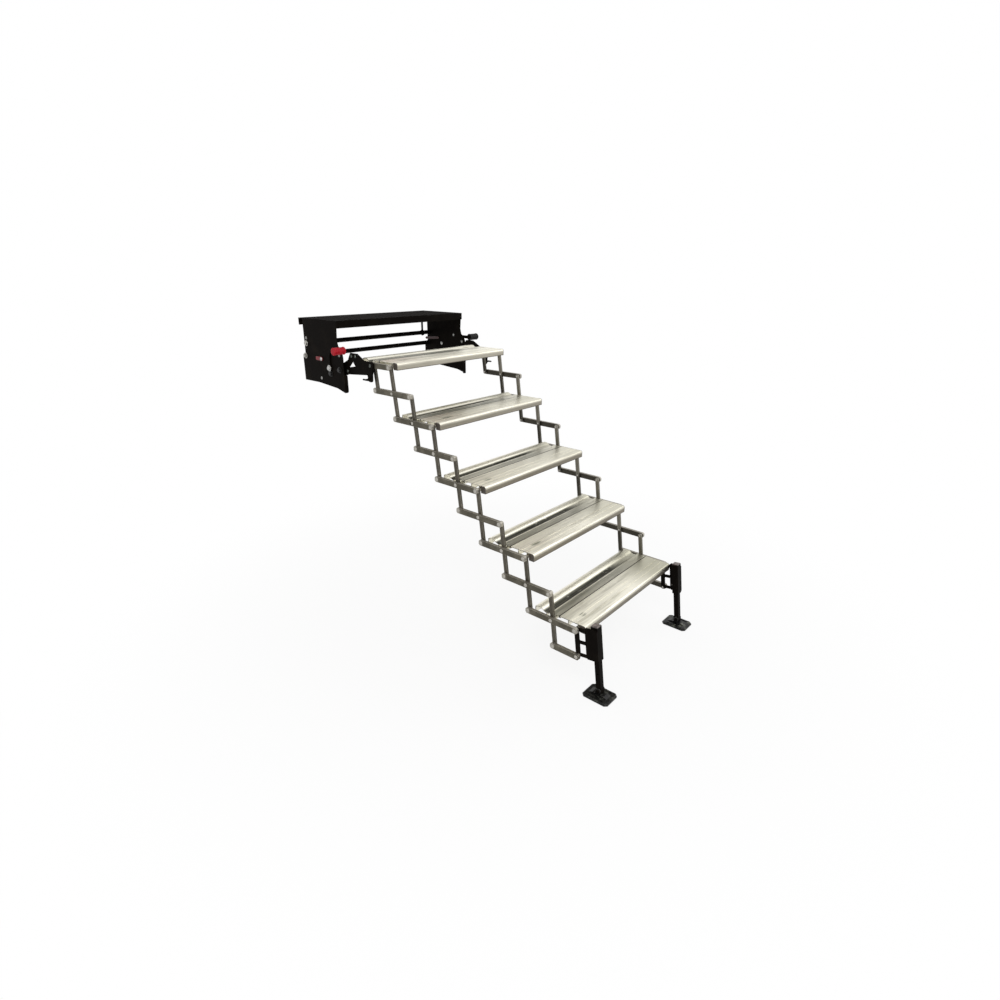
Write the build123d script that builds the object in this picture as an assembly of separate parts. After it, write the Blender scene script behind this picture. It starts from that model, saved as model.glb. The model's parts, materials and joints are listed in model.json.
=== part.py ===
from build123d import *
import os
from math import cos, hypot, radians, sin

# Folding entry step for a caravan door: five aluminium treads carried by a scissor linkage on
# each side, hung from a steel mount on swing arms and standing on two adjustable legs.
# Millimetres. X runs along the treads, the steps descend towards -Y, and Z is up. The origin is
# the centre of the mount's bolt pattern, on the upper face of its top channel.

# Scissor linkage. Every link is LINK_HALF from its middle pivot to its end pivots.
TREAD_COUNT = 5
LINK_HALF = 102.0
LEAN = 8.0  # degrees that the riser links lean forward when the step stands open
STACK_PITCH = 26.05  # height of one level when the scissor is folded
REACH = 312.0  # from the bolt pattern forward to the first tread's middle pivot
DROP = 163.0  # from the bolt pattern down to the same pivot

# Treads: one extrusion each, with a bullnose in front and a gutter and lip behind.
TREAD_HALF = 320.5  # half the length of the extrusion
DECK_TOP = 18.0  # deck above the pivot line
DECK_WALL = 3.0
NOSE_AHEAD = 33.0  # nose ahead of the front pivot
NOSE_RADIUS = 9.0
NOSE_BOTTOM = -10.0
NOSE_LIP = 18.0
HEEL_REACH = 85.0  # rear edge behind the middle pivot
HEEL_BOTTOM = -8.0
GUTTER_FROM = 14.0
GUTTER_TO = 52.0
GUTTER_DEPTH = 8.0
LIP_RISE = 4.0
GROOVE_AT = -24.0  # dark groove along the middle of the deck
GROOVE_WIDTH = 3.0
GROOVE_DEPTH = 3.5
FLUTES_AT = (-76.0, -100.0)
FLUTE_WIDTH = 2.0
FLUTE_DEPTH = 0.8
PORT_WALL = 3.5  # aluminium round each screw port
RIB_AT = -62.0
RIB_BOTTOM = -6.0
CAP_THICKNESS = 2.0
CAP_GAP = 7.0  # between the nose caps and the front studs

# Links and studs.
RISER_GAP = 1.0  # between the nose caps and the riser links
RISER_WIDTH = 16.0
RISER_THICKNESS = 8.0
RISER_CHAMFER = 4.0
LEVEL_GAP = 0.5  # between the riser links and the level links
LEVEL_HEIGHT = 22.0
LEVEL_THICKNESS = 12.0
LEVEL_END = 11.0  # level link beyond its end pivot
LEVEL_CHAMFER = 5.0
STUD_RADIUS = 4.0
STUD_GRIP = 12.0  # stud inside a tread's screw port
STUD_TAIL = 2.0  # stud past the inner face of a riser link
RUNNING_FIT = 0.05  # radial clearance of a pivot that carries a joint
OPEN_FIT = 0.3  # radial clearance of a pivot that closes a loop
SEAT_GAP = 0.3  # between pieces that turn against each other or meet at a stop
PIN_SIDES = 8  # the many small pins and their bores have flats, to keep the model light

# Legs, measured along and across the leg bars, from the lowest middle pivot.
LEG_OFFSET = 70.0  # leg axis in front of the riser line
LEG_TUBE = 20.0
LEG_TUBE_WALL = 2.0
LEG_GAP = 0.4
HOUSING_WALL = 3.2
HOUSING_TOP = 124.0
HOUSING_BOTTOM = -5.0
GUSSET_THICKNESS = 5.0
GUSSET_BACK = 34.0  # rear edge of the gusset plate in front of the riser line
GUSSET_TOP = 116.0
BRACKET_BAR_HEIGHT = 12.0
BRACKET_BARS_AT = (102.0, 54.0, 4.0)
LEG_TUBE_TOP = 85.0
FOOT_PIVOT = -124.0
LEG_TUBE_END = 9.0  # tube past the foot pivot
LEG_HOLE_RADIUS = 3.5
LEG_HOLE_AT = -58.0
CAP_PLATE = 4.0
CAP_PLUG = 8.0
SCREW_RADIUS = 4.0
SCREW_HEAD_RADIUS = 6.5
SCREW_HEAD_HEIGHT = 5.0
SCREWS_AT = 30.0

# Feet.
FOOT_LENGTH = 104.0
FOOT_WIDTH = 82.0
FOOT_PLATE = 9.0
FOOT_CORNER = 10.0
FOOT_BEVEL = 4.0
FOOT_CROWN = 5.0
FOOT_PIVOT_HEIGHT = 27.0
EAR_THICKNESS = 4.0
EAR_WIDTH = 20.0
EAR_CHAMFER = 6.0
FOOT_PIN_RADIUS = 4.0

# Mount: bent steel side plates under a top channel, tied by two rods. Places on the mount and
# the arms are (Y, Z) from the first tread's middle pivot.
PLATE_GAP = 21.0  # between the level links and the side plates
PLATE_THICKNESS = 4.0
PLATE_FRONT = 156.0
PLATE_REAR = 430.0
PLATE_HEEL = 450.0  # the rear edge steps back below the rods' middle
PLATE_HEEL_TOP = 15.0
PLATE_TOP_FRONT = 184.0
PLATE_FRONT_FOOT = -130.0
PLATE_REAR_FOOT = -105.0
PLATE_SWEEP = ((156.0, 12.0), (164.0, 42.0), (184.0, 62.0))  # hollow curve of the front edge
PLATE_STEP = (190.0, 87.0)
PLATE_UNDERSIDE = ((342.0, -105.0), (210.0, -116.0))
FLANGE_WIDTH = 14.0  # inward bend at the front of a side plate
FLANGE_TOP = -56.0
TOP_BEND = 20.0  # inward bend that carries the channel
CHANNEL_DEPTH = 280.0
CHANNEL_SET_BACK = 7.5  # middle of the channel behind the bolt pattern
CHANNEL_PLATE = 4.0
CHANNEL_FLANGE = 30.0
BOLT_SPACING_X = 560.0
BOLT_SPACING_Y = 200.0
BOLT_HOLE_RADIUS = 5.25
ROD_RADIUS = 10.0
RODS_AT = ((416.0, 57.0), (430.0, 3.0))
ROD_BOLT_RADIUS = 4.0
ROD_BOLT_LENGTH = 12.0  # thread inside the end of a rod
STRAP_INSET = 48.0  # from the inner face of the right side plate
STRAP_WIDTH = 10.0
STRAP_THICKNESS = 4.0
STRAP_WALL = 4.0  # steel round the rod

# Swing arms, their hinge bolts and the stop bolts that their tails rest under.
ARM_THICKNESS = 6.0
ARM_TOP_EDGE = (
    (-18.0, -8.0), (-18.0, 8.0), (-12.0, 13.0), (40.0, 14.0),
    (84.0, 38.0), (128.0, 38.0), (146.0, 8.0), (198.0, -16.0),
)
ARM_UNDERSIDE = (
    (206.0, -78.0), (176.0, -62.0), (150.0, -52.0), (22.0, -42.0),
    (16.0, -62.0), (10.0, -68.0), (-2.0, -68.0), (-8.0, -62.0), (-10.0, -38.0),
)
ARM_WINDOW = ((143.0, -22.0), (98.0, -14.0), (114.0, 6.0))
ARM_TAIL_FROM = 236.0
ARM_TAIL_TO = 262.0
ARM_TAIL_HEIGHT = 14.0
HINGE_AT = (184.0, -36.0)
HINGE_RADIUS = 6.0
HINGE_BOSS_RADIUS = 11.0
STOP_AT = (249.0, -57.0)
STOP_RADIUS = 8.0
HEAD_RADIUS = 10.0
HEAD_HEIGHT = 6.0

# Latch levers with hand grips, outside the side plates.
LEVER_HUB_AT = (250.0, -34.0)
LEVER_HUB_RADIUS = 12.0
LEVER_BOSS_RADIUS = 7.0
LEVER_THICKNESS = 5.0
LEVER_WIDTH = 14.0
LEVER_RISE = 40.0  # straight part of the arm above the hub
GRIP_AT = (135.0, 49.0)
GRIP_RADIUS = 16.0
SPINDLE_RADIUS = 6.0
GRIP_LENGTH = 54.0
GRIP_CHAMFER = 4.0
GRIP_SIDES = 16

# Travel locks: a short tab outside the left plate and a long lever inside the right one.
TAB_WIDTH = 16.0
LOCK_THICKNESS = 4.0
LOCK_CHAMFER = 4.0
LOCK_BOSS_RADIUS = 5.0
TAB_AT = (306.0, 0.0)
TAB_LENGTH = 32.0
LOCK_LEVER_AT = (347.0, 33.0)
LOCK_LEVER_LENGTH = 88.0
LOCK_LEVER_WIDTH = 12.0  # it swings between the rods
LOCK_LEVER_TILT = -4.0
COLLAR_WALL = 2.5  # keeper collar round a boss, on the far side of its plate
COLLAR_LENGTH = 3.0

# Pull pins in lugs below the arms, drawn out. Pushed in, they lock the folded second tread.
PULL_PIN_AT = (4.0, -56.0)
PULL_PIN_RADIUS = 4.0
PULL_PIN_TRAVEL = 10.0
LOCK_HOLE_RADIUS = 4.8
FERRULE_RADIUS = 8.0
FERRULE_LENGTH = 8.0
PULL_BAR_RADIUS = 3.5
PULL_BAR_LENGTH = 34.0

# Places worked out from the sizes above.
NOSE_REACH = LINK_HALF + NOSE_AHEAD
RISER_IN = TREAD_HALF + CAP_THICKNESS + RISER_GAP
RISER_OUT = RISER_IN + RISER_THICKNESS
LEVEL_IN = RISER_OUT + LEVEL_GAP
LEVEL_OUT = LEVEL_IN + LEVEL_THICKNESS
ARM_IN = LEVEL_OUT + SEAT_GAP
ARM_OUT = ARM_IN + ARM_THICKNESS
PLATE_INNER = LEVEL_OUT + PLATE_GAP
PLATE_OUTER = PLATE_INNER + PLATE_THICKNESS
STRAP_X = PLATE_INNER - STRAP_INSET
LAST_LEVEL = 2 * TREAD_COUNT - 1
HOUSING_HALF = LEG_TUBE / 2 + LEG_GAP + HOUSING_WALL
LEG_X = RISER_IN - HOUSING_HALF


def middle(level):
    """Middle pivot of a level as (Y, Z); even levels are treads, odd ones plain links."""
    return (
        -REACH - level * LINK_HALF * (1 + sin(radians(LEAN))),
        -DROP - level * LINK_HALF * cos(radians(LEAN)),
    )


def front(level):
    """Front pivot of a level."""
    y, z = middle(level)
    return (y - LINK_HALF, z)


def rear(level):
    """Rear pivot of a level."""
    y, z = middle(level)
    return (y + LINK_HALF, z)


def from_pivot(place):
    """A (Y, Z) place measured from the first tread's middle pivot, in the part's frame."""
    y, z = middle(0)
    return (y + place[0], z + place[1])


def along_x(outline, low, high):
    """Extrudes an outline drawn in Y and Z from X = low to X = high."""
    return Pos(low, 0, 0) * extrude(Plane.YZ * outline, high - low)


def round_bar(place, radius, low, high):
    """A round bar along X through a (Y, Z) place."""
    return along_x(Pos(*place) * Circle(radius), low, high)


def pin(place, radius, low, high):
    """A small pin along X; its corners lie on the radius."""
    return along_x(Pos(*place) * RegularPolygon(radius, PIN_SIDES), low, high)


def pin_bore(radius):
    """Outline of a bore whose flats clear a pin of the radius at any angle."""
    return RegularPolygon(radius, PIN_SIDES, major_radius=False)


def clipped_bar(length, width, cut):
    """A flat bar's outline with its four corners cut off."""
    return chamfer(Rectangle(length, width).vertices(), cut)


def pair(right):
    """The right-hand piece together with its mirror image."""
    return Compound(children=[right, mirror(right, about=Plane.YZ)])


def polygon(points):
    """A filled outline with straight sides."""
    return make_face(Polyline(*points, close=True))


def save(shape, name):
    """Writes one node."""
    export_step(shape, f"parts/{name}.step")


# Treads.


def nose_outline(inset):
    """Edges of the bullnose from the deck down and back to the lip, moved in by inset."""
    top = DECK_TOP - inset
    tip = -NOSE_REACH + inset
    radius = NOSE_RADIUS - inset
    bend = radius * (1 - cos(radians(45)))
    low = NOSE_BOTTOM + inset
    return [
        ThreePointArc(
            (tip + radius, top), (tip + bend, top - bend), (tip, top - radius)
        ),
        Line((tip, top - radius), (tip, low)),
        Line((tip, low), (-NOSE_REACH + NOSE_LIP, low)),
    ]


def deck_line(sink):
    """Deck from the nose to the heel: flat, a gutter, then a raised lip, lowered by sink."""
    top = DECK_TOP - sink
    heel = HEEL_REACH - sink
    middle_y = (GUTTER_FROM + GUTTER_TO) / 2
    lip_y = (GUTTER_TO + heel) / 2
    start = -NOSE_REACH + NOSE_RADIUS
    return [
        Line((start, top), (GUTTER_FROM, top)),
        ThreePointArc(
            (GUTTER_FROM, top), (middle_y, top - GUTTER_DEPTH), (GUTTER_TO, top)
        ),
        ThreePointArc((GUTTER_TO, top), (lip_y, top + LIP_RISE), (heel, top - 1.0)),
        Line((heel, top - 1.0), (heel, HEEL_BOTTOM)),
    ]


def tread_profile():
    """Section of a tread about its middle pivot, in Y and Z."""
    lip = -NOSE_REACH + NOSE_LIP
    shell = make_face(
        nose_outline(0)
        + [Line((lip, NOSE_BOTTOM), (lip, NOSE_BOTTOM + DECK_WALL))]
        + nose_outline(DECK_WALL)
        + deck_line(DECK_WALL)
        + [Line((HEEL_REACH - DECK_WALL, HEEL_BOTTOM), (HEEL_REACH, HEEL_BOTTOM))]
        + deck_line(0)
    )
    under = DECK_TOP - DECK_WALL
    profile = shell
    gutter_y = (GUTTER_FROM + GUTTER_TO) / 2
    for y, top in ((RIB_AT, under), (gutter_y, under - GUTTER_DEPTH)):
        height = top - RIB_BOTTOM + DECK_WALL / 2
        profile += Pos(y, RIB_BOTTOM + height / 2) * Rectangle(DECK_WALL, height)
    pad = GROOVE_WIDTH + 2 * DECK_WALL
    profile += Pos(GROOVE_AT, under - DECK_WALL / 2) * Rectangle(pad, 2 * DECK_WALL)
    port = STUD_RADIUS + RUNNING_FIT
    for y in (-LINK_HALF, 0.0):
        profile += Pos(y, 0) * pin_bore(port + PORT_WALL)
        web = Pos(y, (under + port) / 2 + 1)
        profile += web * Rectangle(DECK_WALL, under - port)
        profile -= Pos(y, 0) * pin_bore(port)
    profile -= Pos(GROOVE_AT, DECK_TOP) * Rectangle(GROOVE_WIDTH, 2 * GROOVE_DEPTH)
    for y in FLUTES_AT:
        profile -= Pos(y, DECK_TOP) * Rectangle(FLUTE_WIDTH, 2 * FLUTE_DEPTH)
    return profile


def tread(level):
    """Extruded tread."""
    return along_x(Pos(*middle(level)) * tread_profile(), -TREAD_HALF, TREAD_HALF)


def nose_caps(level):
    """Moulded caps on both ends of a nose."""
    back = -LINK_HALF - STUD_RADIUS - CAP_GAP
    top = -NOSE_REACH + NOSE_RADIUS
    outline = make_face(
        nose_outline(0)[:2]
        + [
            Line((-NOSE_REACH, NOSE_BOTTOM), (back, NOSE_BOTTOM)),
            Line((back, NOSE_BOTTOM), (back, DECK_TOP)),
            Line((back, DECK_TOP), (top, DECK_TOP)),
        ]
    )
    placed = Pos(*middle(level)) * outline
    return pair(along_x(placed, TREAD_HALF, TREAD_HALF + CAP_THICKNESS))


# Scissor links.


def lock_hole_place():
    """Where a pull pin enters the folded second tread's rail, from its own middle pivot."""
    drop = STACK_PITCH / LINK_HALF
    shift = LINK_HALF * (1 - (1 - drop**2) ** 0.5)
    return (PULL_PIN_AT[0] + 2 * shift, PULL_PIN_AT[1] + 2 * STACK_PITCH)


def level_bars(level):
    """Side rails of a tread, or the plain links of an odd level; the last is a half link."""
    start = middle(level) if level == LAST_LEVEL else front(level)
    end = rear(level)
    outline = clipped_bar(end[0] - start[0] + 2 * LEVEL_END, LEVEL_HEIGHT, LEVEL_CHAMFER)
    outline = Pos((start[0] + end[0]) / 2, start[1]) * outline
    if level == 2:
        outline -= Pos(*middle(2)) * Pos(*lock_hole_place()) * pin_bore(LOCK_HOLE_RADIUS)
    return pair(along_x(outline, LEVEL_IN, LEVEL_OUT))


def riser_bar(high, low, bores):
    """Riser link from its high pivot to its low one, bored for (place, clearance) pairs."""
    length = hypot(high[0] - low[0], high[1] - low[1]) + RISER_WIDTH
    centre = Pos((high[0] + low[0]) / 2, (high[1] + low[1]) / 2)
    outline = centre * Rot(Z=90 - LEAN) * clipped_bar(length, RISER_WIDTH, RISER_CHAMFER)
    for place, clearance in bores:
        outline -= Pos(*place) * pin_bore(STUD_RADIUS + clearance)
    return along_x(outline, RISER_IN, RISER_OUT)


def riser_bars(level):
    """Both riser links that turn on a level's middle studs; the first pair is half links."""
    low = rear(level + 1)
    bores = [(middle(level), RUNNING_FIT), (low, RUNNING_FIT)]
    if level == 0:
        return pair(riser_bar(middle(0), low, bores))
    high = front(level - 1)
    return pair(riser_bar(high, low, bores + [(high, OPEN_FIT)]))


def studs(level):
    """Welded pivot studs of one level, both sides."""
    inner = TREAD_HALF - STUD_GRIP if level % 2 == 0 else RISER_IN - STUD_TAIL
    pieces = [pin(middle(level), STUD_RADIUS, inner, LEVEL_IN)]
    if level < LAST_LEVEL:
        pieces.append(pin(front(level), STUD_RADIUS, inner, LEVEL_IN))
    if level > 0:
        tail = RISER_IN - STUD_TAIL
        pieces.append(pin(rear(level), STUD_RADIUS, tail, LEVEL_IN))
    return Compound(children=[side for piece in pieces for side in pair(piece).solids()])


# Legs. They are drawn upright about the lowest middle pivot, then leaned with the risers.


def leaned(shape):
    """Moves a leg piece from its upright drawing to its place."""
    y, z = middle(LAST_LEVEL)
    return Pos(0, y, z) * Rot(X=-LEAN) * shape


def square_tube(half, wall, low, high):
    """A square tube along the leg axis."""
    outline = Rectangle(2 * half, 2 * half) - Rectangle(2 * half - 2 * wall, 2 * half - 2 * wall)
    return Pos(LEG_X, -LEG_OFFSET, low) * extrude(outline, high - low)


def leg_bracket():
    """Welded bracket: the last riser bar, three short bars, a gusset and the leg housing."""
    bar = clipped_bar(RISER_WIDTH, LINK_HALF + RISER_WIDTH, RISER_CHAMFER)
    bar = Pos(0, LINK_HALF / 2) * bar
    bar -= pin_bore(STUD_RADIUS + OPEN_FIT)
    bar -= Pos(0, LINK_HALF) * pin_bore(STUD_RADIUS + RUNNING_FIT)
    bracket = along_x(bar, RISER_IN, RISER_OUT)
    gusset_front = -LEG_OFFSET - HOUSING_HALF
    gusset_at = Pos((gusset_front - GUSSET_BACK) / 2, (GUSSET_TOP + HOUSING_BOTTOM) / 2)
    gusset = gusset_at * clipped_bar(
        -GUSSET_BACK - gusset_front, GUSSET_TOP - HOUSING_BOTTOM, LEVEL_CHAMFER
    )
    bracket += along_x(gusset, RISER_IN, RISER_IN + GUSSET_THICKNESS)
    bar_from = -GUSSET_BACK - 1
    bar_to = -RISER_WIDTH / 2 + 1
    for z in BRACKET_BARS_AT:
        short = Rectangle(bar_to - bar_from, BRACKET_BAR_HEIGHT)
        placed = Pos((bar_from + bar_to) / 2, z) * short
        bracket += along_x(placed, RISER_IN, RISER_IN + GUSSET_THICKNESS)
    bracket += square_tube(HOUSING_HALF, HOUSING_WALL, HOUSING_BOTTOM, HOUSING_TOP)
    wall = Pos(LEG_X, -LEG_OFFSET + HOUSING_HALF - HOUSING_WALL - 1, SCREWS_AT)
    bore = pin_bore(SCREW_RADIUS + RUNNING_FIT)
    bracket -= wall * Rot(X=-90) * extrude(bore, HOUSING_WALL + 2)
    return leaned(bracket)


def leg_caps():
    """Plastic caps pushed into the tops of both leg housings."""
    top = Pos(LEG_X, -LEG_OFFSET, HOUSING_TOP)
    cap = top * Pos(Z=CAP_PLATE / 2) * Box(2 * HOUSING_HALF, 2 * HOUSING_HALF, CAP_PLATE)
    cap = chamfer(cap.faces().sort_by(Axis.Z)[-1].edges(), CAP_PLATE / 2)
    plug = 2 * (HOUSING_HALF - HOUSING_WALL - RUNNING_FIT)
    cap += top * Pos(Z=-CAP_PLUG / 2) * Box(plug, plug, CAP_PLUG)
    return pair(leaned(cap))


def clamp_screws():
    """Set screws through the rear walls of the housings, short of the leg tubes."""
    face = -LEG_OFFSET + HOUSING_HALF
    tip = -LEG_OFFSET + LEG_TUBE / 2 + SEAT_GAP
    shank = extrude(RegularPolygon(SCREW_RADIUS, PIN_SIDES), face - tip)
    head = Pos(Z=face - tip) * extrude(
        RegularPolygon(SCREW_HEAD_RADIUS, 6), SCREW_HEAD_HEIGHT
    )
    screw = Pos(LEG_X, tip, SCREWS_AT) * Rot(X=-90) * (shank + head)
    return pair(leaned(screw))


def leg_tube():
    """Sliding leg tube with its adjusting hole and the bore for the foot pin."""
    tube = square_tube(
        LEG_TUBE / 2, LEG_TUBE_WALL, FOOT_PIVOT - LEG_TUBE_END, LEG_TUBE_TOP
    )
    for z, radius in ((FOOT_PIVOT, FOOT_PIN_RADIUS + RUNNING_FIT), (LEG_HOLE_AT, LEG_HOLE_RADIUS)):
        bore = Pos(-LEG_OFFSET, z) * pin_bore(radius)
        tube -= along_x(bore, LEG_X - LEG_TUBE, LEG_X + LEG_TUBE)
    return leaned(tube)


def foot_pivot():
    """Centre of the right foot's pin in the part's frame."""
    return leaned(Pos(LEG_X, -LEG_OFFSET, FOOT_PIVOT) * Vertex(0, 0, 0)).center()


def foot():
    """Foot pad, level on the ground, with a crowned top and a pin riveted in two ears."""
    half_ear = LEG_TUBE / 2 + SEAT_GAP
    plate = Pos(Z=FOOT_PLATE / 2) * Box(FOOT_WIDTH, FOOT_LENGTH, FOOT_PLATE)
    plate = chamfer(plate.edges().filter_by(Axis.Z), FOOT_CORNER)
    plate = chamfer(plate.faces().sort_by(Axis.Z)[-1].edges(), FOOT_BEVEL)
    crown = polygon(
        [
            (-FOOT_LENGTH * 0.38, FOOT_PLATE - 1),
            (FOOT_LENGTH * 0.38, FOOT_PLATE - 1),
            (FOOT_LENGTH * 0.22, FOOT_PLATE + FOOT_CROWN),
            (-FOOT_LENGTH * 0.22, FOOT_PLATE + FOOT_CROWN),
        ]
    )
    ear_outer = half_ear + EAR_THICKNESS
    pad = plate + along_x(crown, -ear_outer, ear_outer)
    for side in (-1, 1):
        rib = Pos(side * FOOT_WIDTH * 0.36, 0, FOOT_PLATE)
        pad += rib * Box(EAR_THICKNESS, FOOT_LENGTH * 0.6, FOOT_BEVEL)
    ear_height = FOOT_PIVOT_HEIGHT + EAR_WIDTH / 2 - FOOT_PLATE + 1
    ear = Rectangle(EAR_WIDTH, ear_height)
    ear = chamfer(ear.vertices().group_by(Axis.Y)[-1], EAR_CHAMFER)
    ear = Pos(0, FOOT_PLATE - 1 + ear_height / 2) * ear
    pad += along_x(ear, half_ear, ear_outer)
    pad += along_x(ear, -ear_outer, -half_ear)
    pad += pin((0, FOOT_PIVOT_HEIGHT), FOOT_PIN_RADIUS, -half_ear, half_ear)
    at = foot_pivot()
    return Pos(at.X, at.Y, at.Z - FOOT_PIVOT_HEIGHT) * pad


# Mount.


def top_channel():
    """Bent channel that bolts up under the floor frame."""
    half = CHANNEL_DEPTH / 2
    web = Pos(0, -CHANNEL_PLATE / 2) * Rectangle(CHANNEL_DEPTH, CHANNEL_PLATE)
    for side in (-1, 1):
        flange = Pos(side * (half - CHANNEL_PLATE / 2), -CHANNEL_FLANGE / 2)
        web += flange * Rectangle(CHANNEL_PLATE, CHANNEL_FLANGE)
    channel = along_x(Pos(CHANNEL_SET_BACK) * web, -PLATE_OUTER, PLATE_OUTER)
    hole = Cylinder(BOLT_HOLE_RADIUS, 4 * CHANNEL_PLATE)
    return channel - GridLocations(BOLT_SPACING_X, BOLT_SPACING_Y, 2, 2) * hole


def side_outline():
    """Outline of a side plate, with its swept front edge and pointed foot."""
    top = DROP - CHANNEL_PLATE
    sweep_low, sweep_middle, sweep_high = PLATE_SWEEP
    edges = Polyline(
        sweep_high,
        PLATE_STEP,
        (PLATE_TOP_FRONT, top),
        (PLATE_REAR, top),
        (PLATE_REAR, PLATE_HEEL_TOP),
        (PLATE_HEEL, PLATE_HEEL_TOP - (PLATE_HEEL - PLATE_REAR) / 2),
        (PLATE_HEEL, PLATE_REAR_FOOT),
        *PLATE_UNDERSIDE,
        (PLATE_FRONT, PLATE_FRONT_FOOT),
        sweep_low,
    )
    return make_face(edges + ThreePointArc(sweep_low, sweep_middle, sweep_high))


def side_plate(lock_place):
    """Right side plate with its inward bends, hinge boss and bores, one of them for a lock."""
    flat = Pos(*from_pivot((0, 0))) * side_outline()
    for place, radius in (
        (STOP_AT, STOP_RADIUS),
        (LEVER_HUB_AT, LEVER_BOSS_RADIUS),
        (lock_place, LOCK_BOSS_RADIUS),
        (RODS_AT[0], ROD_BOLT_RADIUS),
        (RODS_AT[1], ROD_BOLT_RADIUS),
    ):
        flat -= Pos(*from_pivot(place)) * pin_bore(radius + RUNNING_FIT)
    plate = along_x(flat, PLATE_INNER, PLATE_OUTER)
    y, z = from_pivot((PLATE_FRONT, PLATE_FRONT_FOOT))
    height = FLANGE_TOP - PLATE_FRONT_FOOT
    flange = Pos(PLATE_INNER - FLANGE_WIDTH / 2, y + PLATE_THICKNESS / 2, z + height / 2)
    flange *= Box(FLANGE_WIDTH, PLATE_THICKNESS, height)
    inner_corners = flange.edges().filter_by(Axis.Y).group_by(Axis.X)[0]
    plate += chamfer(inner_corners, PLATE_THICKNESS)
    y, z = from_pivot((PLATE_STEP[0], DROP - CHANNEL_PLATE))
    length = PLATE_REAR - PLATE_STEP[0]
    bend = Pos(PLATE_INNER - TOP_BEND / 2, y + length / 2, z - PLATE_THICKNESS / 2)
    plate += bend * Box(TOP_BEND, length, PLATE_THICKNESS)
    hinge = from_pivot(HINGE_AT)
    plate += pin(hinge, HINGE_BOSS_RADIUS, ARM_OUT + SEAT_GAP, PLATE_INNER)
    bore = Pos(*hinge) * pin_bore(HINGE_RADIUS + RUNNING_FIT)
    return plate - along_x(bore, ARM_OUT, PLATE_OUTER)


def side_plates():
    """Both side plates; the left one carries the tab, the right one the long lock lever."""
    left = mirror(side_plate(TAB_AT), about=Plane.YZ)
    return Compound(children=[side_plate(LOCK_LEVER_AT), left])


def cross_rods():
    """Two tie rods between the side plates, tapped at both ends."""
    rods = []
    for place in RODS_AT:
        at = from_pivot(place)
        rod = round_bar(at, ROD_RADIUS, -PLATE_INNER, PLATE_INNER)
        tap = Pos(*at) * pin_bore(ROD_BOLT_RADIUS + RUNNING_FIT)
        deep = PLATE_INNER - ROD_BOLT_LENGTH
        rods.append(rod - along_x(tap, deep, PLATE_INNER) - along_x(tap, -PLATE_INNER, -deep))
    return Compound(children=rods)


def tie_strap():
    """Strap that hangs the upper rod from the channel."""
    y, z = from_pivot(RODS_AT[0])
    top = -CHANNEL_PLATE
    bore = ROD_RADIUS + RUNNING_FIT
    outline = Pos(y, z) * pin_bore(bore + STRAP_WALL)
    outline += Pos(y, (z + top) / 2) * Rectangle(STRAP_WIDTH, top - z)
    outline -= Pos(y, z) * pin_bore(bore)
    low = STRAP_X - STRAP_THICKNESS / 2
    return along_x(outline, low, low + STRAP_THICKNESS)


def hex_head(place, low):
    """A hexagon bolt head along X, standing on X = low."""
    return along_x(Pos(*place) * RegularPolygon(HEAD_RADIUS, 6), low, low + HEAD_HEIGHT)


def mount_bolts():
    """Hinge, stop and rod bolts, both sides."""
    hinge = from_pivot(HINGE_AT)
    keeper_end = ARM_IN - SEAT_GAP
    bolts = [
        round_bar(hinge, HINGE_RADIUS, keeper_end, PLATE_OUTER)
        + pin(hinge, HINGE_RADIUS + COLLAR_WALL, keeper_end - COLLAR_LENGTH, keeper_end)
        + hex_head(hinge, PLATE_OUTER)
    ]
    stop = from_pivot(STOP_AT)
    bolts.append(pin(stop, STOP_RADIUS, ARM_IN, PLATE_OUTER) + hex_head(stop, PLATE_OUTER))
    for place in RODS_AT:
        at = from_pivot(place)
        deep = PLATE_INNER - ROD_BOLT_LENGTH + SEAT_GAP
        bolts.append(pin(at, ROD_BOLT_RADIUS, deep, PLATE_OUTER) + hex_head(at, PLATE_OUTER))
    return Compound(children=[side for bolt in bolts for side in pair(bolt).solids()])


# Swing arms, levers and pins.


def swing_arm():
    """Right swing arm: a humped plate with a window, a tail under the stop and a ferrule."""
    tail_top = STOP_AT[1] - STOP_RADIUS - SEAT_GAP
    tail = (
        (ARM_TAIL_FROM, tail_top),
        (ARM_TAIL_TO, tail_top),
        (ARM_TAIL_TO, tail_top - ARM_TAIL_HEIGHT),
    )
    outline = polygon(ARM_TOP_EDGE + tail + ARM_UNDERSIDE) - polygon(ARM_WINDOW)
    outline -= Pos(*HINGE_AT) * Circle(HINGE_RADIUS + RUNNING_FIT)
    arm = along_x(Pos(*from_pivot((0, 0))) * outline, ARM_IN, ARM_OUT)
    at = from_pivot(PULL_PIN_AT)
    arm += pin(at, FERRULE_RADIUS, ARM_OUT, ARM_OUT + FERRULE_LENGTH)
    bore = Pos(*at) * pin_bore(PULL_PIN_RADIUS + RUNNING_FIT)
    return arm - along_x(bore, ARM_IN, ARM_OUT + FERRULE_LENGTH)


def pull_pin():
    """Pull pin with a cross bar, in the ferrule on the front of an arm."""
    at = from_pivot(PULL_PIN_AT)
    outer = ARM_OUT + FERRULE_LENGTH + PULL_PIN_TRAVEL + SEAT_GAP + PULL_BAR_RADIUS
    pull = pin(at, PULL_PIN_RADIUS, ARM_IN, outer)
    bar = extrude(RegularPolygon(PULL_BAR_RADIUS, PIN_SIDES), PULL_BAR_LENGTH / 2, both=True)
    return pull + Pos(outer, *at) * Rot(X=90) * bar


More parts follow.
